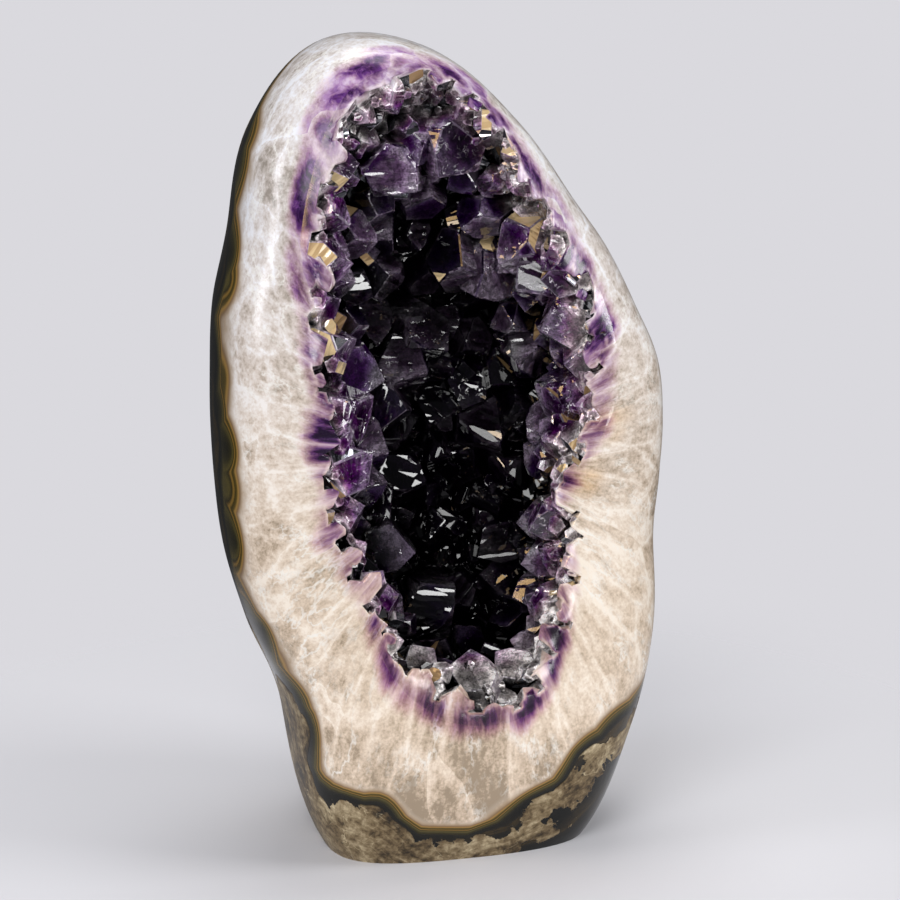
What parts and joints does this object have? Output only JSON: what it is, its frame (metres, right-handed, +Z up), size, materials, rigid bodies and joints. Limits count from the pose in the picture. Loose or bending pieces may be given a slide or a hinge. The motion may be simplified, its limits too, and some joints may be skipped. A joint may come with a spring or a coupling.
{
  "type": "amethyst geode egg",
  "caption": "Polished standing geode, egg-shaped, cut flat below, with one side open on a hollow lined with violet quartz points.",
  "frame": {"origin": "middle of the box around the egg, on the plane of its flat ground foot", "axes": "+Z up along the egg's height, the open polished side faces -Y, +X to its right seen from the front"},
  "size_m": [0.142, 0.1144, 0.2556],
  "materials": {
    "banded_quartz": "polished milky quartz with a thin dark green-grey agate rind and tan basalt outside it",
    "amethyst": "clear violet quartz, flat growth faces, pale towards the root and nearly black in depth"
  },
  "bodies": {
    "root": {"geode_body": "banded_quartz", "crystal_crust": "amethyst"}
  },
  "joints": []
}
